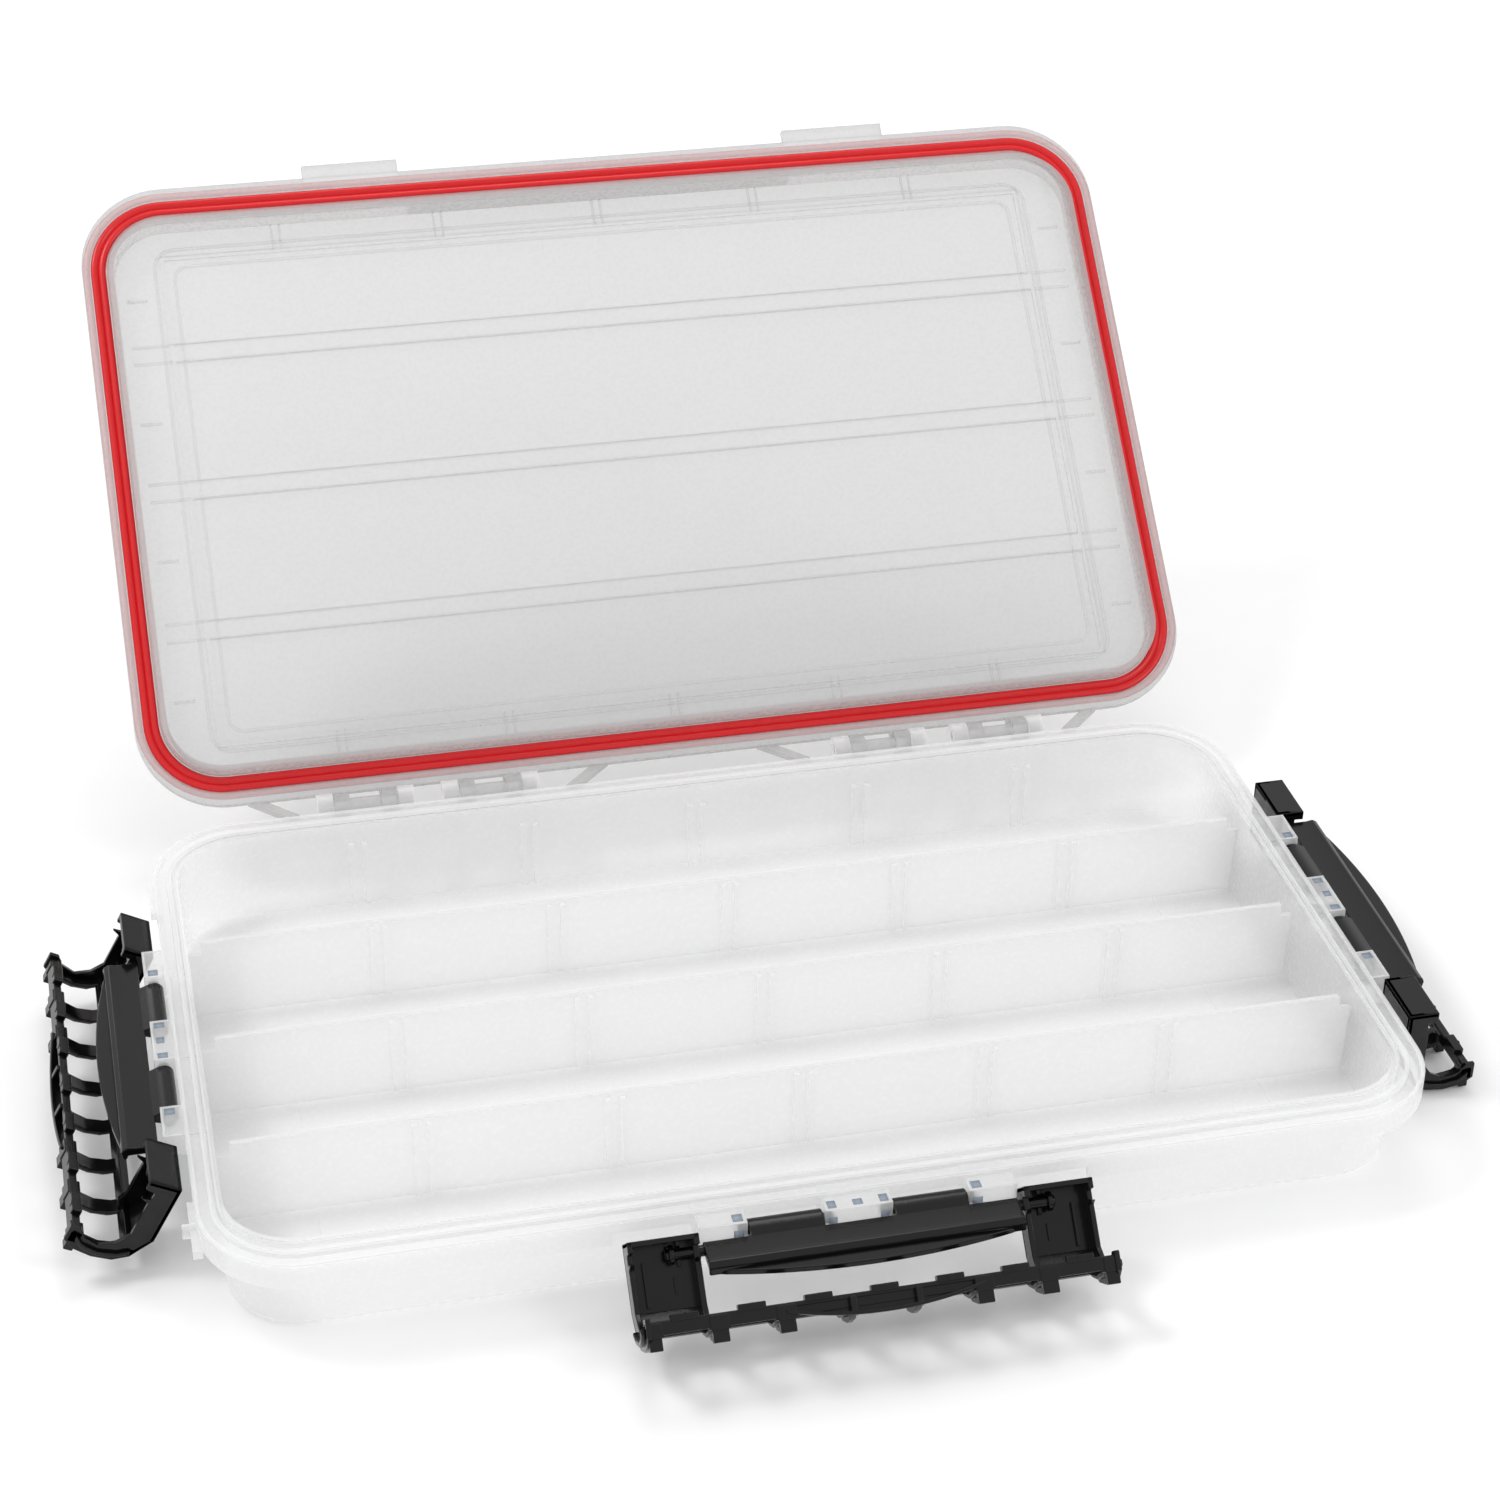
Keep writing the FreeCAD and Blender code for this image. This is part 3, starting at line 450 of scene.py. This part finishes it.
def ring(b, path, section):
    """Sweeps a closed (out, z) section around a path."""
    loops = []
    for (x, y), (ox, oy) in path:
        loops.append([b.mesh.verts.new((x + ox * o, y + oy * o, z)) for o, z in section])
    count = len(section)
    for k in range(len(loops)):
        a, c = loops[k], loops[(k + 1) % len(loops)]
        for j in range(count):
            i = (j + 1) % count
            b.mesh.faces.new((a[j], a[i], c[i], c[j]))


def seal():
    """The seal: a flat band with two rounded ridges facing the rim."""
    b = Builder()
    low, high = 29.7, 31.8
    section = [(0, high), (0, low + 0.5), (-0.5, low + 0.12), (-1.2, low), (-1.9, low + 0.35),
               (-2.35, low + 0.75), (-2.8, low + 0.35), (-3.5, low), (-4.2, low + 0.12),
               (-4.7, low + 0.5), (-4.7, high)]
    ring(b, rounded_path(330.4, 197.4, 23.9, 0), section)
    piece = b.finish("seal_ring", SEAL, OPEN, 0)
    piece.data.set_sharp_from_angle(angle=math.radians(50))
    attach(piece, "lid_body")
    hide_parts("gasket")


def lid_ridges():
    """Fine ridges on the lid: the channel's walls, the panel's border and the lines across it, in a
    lighter, clearer copy of the lid plastic whose light lines are painted highlight.
    """
    b = Builder()
    for length, width, radius, low, high, thick in (
            (333.4, 201.0, 25.6, 29.7, 30.2, 0.9), (319.9, 187.2, 18.9, 29.7, 30.2, 0.9)):
        ring(b, rounded_path(length, width, radius, 0),
             [(0, low), (0, high), (-thick, high), (-thick, low)])
    for length, width, radius, shift in ((291.0, 169.0, 7.0, 1.4), (279.0, 157.0, 5.0, 1.4)):
        ring(b, rounded_path(length, width, radius, shift),
             [(0, 31.9), (0, 32.9), (-0.9, 32.9), (-0.9, 31.9)])
    for middle in DIVIDER_LINES:
        for y in (middle - 3.3, middle + 2.5):
            b.box(-155, 155, y, y + 0.8, 31.9, 32.9)
    for x in (-105.4, -52.7, 0, 52.7, 105.4):
        for y0, y1 in ((82.5, 90.6), (-88.6, -79.8)):
            for side in (-1.6, 1.0):
                b.box(x + side, x + side + 0.6, y0, y1, 31.6, 32.9)
    for x in (-155.0, 148.5):
        for y in (68.0, 22.0, -24.0, -66.0):
            b.box(x, x + 6.5, y, y + 0.7, 31.2, 32.9)
    b.box(-62, 65, -90.2, -88.8, 27.4, 32.9)
    # the ridges take the lighter ridge plastic: painted highlight
    piece = b.finish("lid_ridges", RIDGE_HIGHLIGHT, OPEN, 0.12, 1)
    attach(piece, "lid_body")


def seal_glow():
    """The lid's plastic beside the seal, painted pink: a painted glow that stands for the seal's red light
    picked up in the clear plastic there.
    """
    b = Builder()
    # painted glow: thin pink strips beside the seal, for the seal's red light in the clear lid
    ring(b, rounded_path(335.6, 202.6, 26.6, 0), [(0, 29.66), (0, 29.78), (-2.3, 29.78), (-2.3, 29.66)])
    ring(b, rounded_path(320.6, 187.6, 19.2, 0), [(0, 29.66), (0, 29.78), (-2.2, 29.78), (-2.2, 29.66)])
    piece = b.finish("lid_seal_glow_strips", SEAL_GLOW, OPEN, 0)
    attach(piece, "lid_body")


def tray_details():
    """Thin features of the tray: lips on the rim and rounded tops on the dividers."""
    b = Builder()
    for length, width, radius, shift, low, high, thick in (
            (335.0, 205.0, 26.5, 0, 28.9, 29.55, 0.7), (328.4, 195.4, 22.9, 0, 28.2, 29.55, 1.1),
            (324.6, 190.4, 21.0, 1.5, 28.2, 29.6, 0.8)):
        ring(b, rounded_path(length, width, radius, shift),
             [(0, low), (0, high), (-thick, high), (-thick, low)])
    for y in DIVIDER_LINES:
        b.prism([(y - 0.7, 27.4), (y + 0.7, 27.4), (y + 0.5, 27.9), (y - 0.5, 27.9)], -150, 150)
    piece = b.finish("tray_lips", RIM, STRAIGHT, 0.1, 1)
    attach(piece, "tray_body")


seal()
lid_ridges()
seal_glow()
tray_details()


# ---------------------------------------------------------------- floor, light and camera
def stage_piece(name, points, faces, material):
    """A mesh that belongs to the studio and not to the object."""
    mesh = bpy.data.meshes.new(name)
    mesh.from_pydata(points, [], faces)
    mesh.materials.append(material)
    piece = bpy.data.objects.new(name, mesh)
    bpy.context.scene.collection.objects.link(piece)
    piece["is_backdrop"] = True


def floor_material():
    """A pale, almost even floor."""
    material, links, add = new_material("pale_floor")
    place = add("ShaderNodeTexCoord")
    noise = add("ShaderNodeTexNoise", Scale=40.0, Detail=3.0)
    links.new(place.outputs["Object"], noise.inputs["Vector"])
    ramp = add("ShaderNodeMapRange")
    ramp.inputs["To Min"].default_value = 0.90
    ramp.inputs["To Max"].default_value = 0.93
    links.new(noise.outputs["Fac"], ramp.inputs["Value"])
    body = add("ShaderNodeBsdfPrincipled", Roughness=0.9)
    body.inputs["Specular IOR Level"].default_value = 0.1
    links.new(ramp.outputs["Result"], body.inputs["Base Color"])
    out = add("ShaderNodeOutputMaterial")
    links.new(body.outputs["BSDF"], out.inputs["Surface"])
    return material


FLOOR_HALF, FLOOR_Z = 6, -0.0005
FLOOR_CORNERS = [(x * FLOOR_HALF, y * FLOOR_HALF, FLOOR_Z) for x, y in ((-1, -1), (1, -1), (1, 1), (-1, 1))]
stage_piece("floor", FLOOR_CORNERS, [(0, 1, 2, 3)], floor_material())


def lamp(name, place, aim, size, power):
    """A round soft lamp, sizes in metres and power in watts."""
    data = bpy.data.lights.new(name, "AREA")
    data.shape = "DISK"
    data.size = size
    data.energy = power
    item = bpy.data.objects.new(name, data)
    item.location = place
    way = Vector(aim) - Vector(place)
    item.rotation_euler = way.to_track_quat("-Z", "Y").to_euler()
    bpy.context.scene.collection.objects.link(item)
    item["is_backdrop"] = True


lamp("key", (-1.1, 0.3, 1.7), (0, 0.05, 0), 0.55, 9)
lamp("fill", (1.3, -1.2, 1.5), (0, 0, 0), 0.6, 6)
lamp("top", (0.2, 0.9, 2.0), (0, 0, 0), 0.9, 6)
lamp("back", (-0.7, 2.1, 1.0), (0, 0, 0), 0.7, 3)

world = bpy.data.worlds.new("studio")
bpy.context.scene.world = world
world.use_nodes = True
world.node_tree.nodes["Background"].inputs["Color"].default_value = (1, 1, 1, 1)
world.node_tree.nodes["Background"].inputs["Strength"].default_value = 0.86

# the focal length and the image's side are in the same unit, the sensor is in millimetres
FOCAL_LENGTH, IMAGE_SIDE, SENSOR = 3228.22, 1500, 36
camera = bpy.data.cameras.new("camera")
camera.sensor_width = SENSOR
camera.lens = FOCAL_LENGTH / IMAGE_SIDE * SENSOR
camera.clip_start = 0.05
eye = bpy.data.objects.new("camera", camera)
EYE_PLACE = Vector((-177.036, -726.821, 575.032))
RIGHT_WAY = Vector((0.97476966, -0.22290767, 0.01167408))
DOWN_WAY = Vector((-0.10968607, -0.52389255, -0.84469259))
FORWARD = Vector((0.19440442, 0.82210022, -0.53512442))
turn = Matrix((RIGHT_WAY, -DOWN_WAY, -FORWARD)).transposed()
eye.matrix_world = Matrix.Translation(EYE_PLACE * MM) @ turn.to_4x4()
bpy.context.scene.collection.objects.link(eye)
bpy.context.scene.camera = eye
bpy.context.scene.view_settings.view_transform = "Standard"

END_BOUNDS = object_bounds()


def plain(value):
    """Nested tuples and vectors as lists of plain numbers."""
    if hasattr(value, "__len__"):
        return [plain(v) for v in value]
    return float(value)


{"start": plain(START_BOUNDS), "end": plain(END_BOUNDS)}
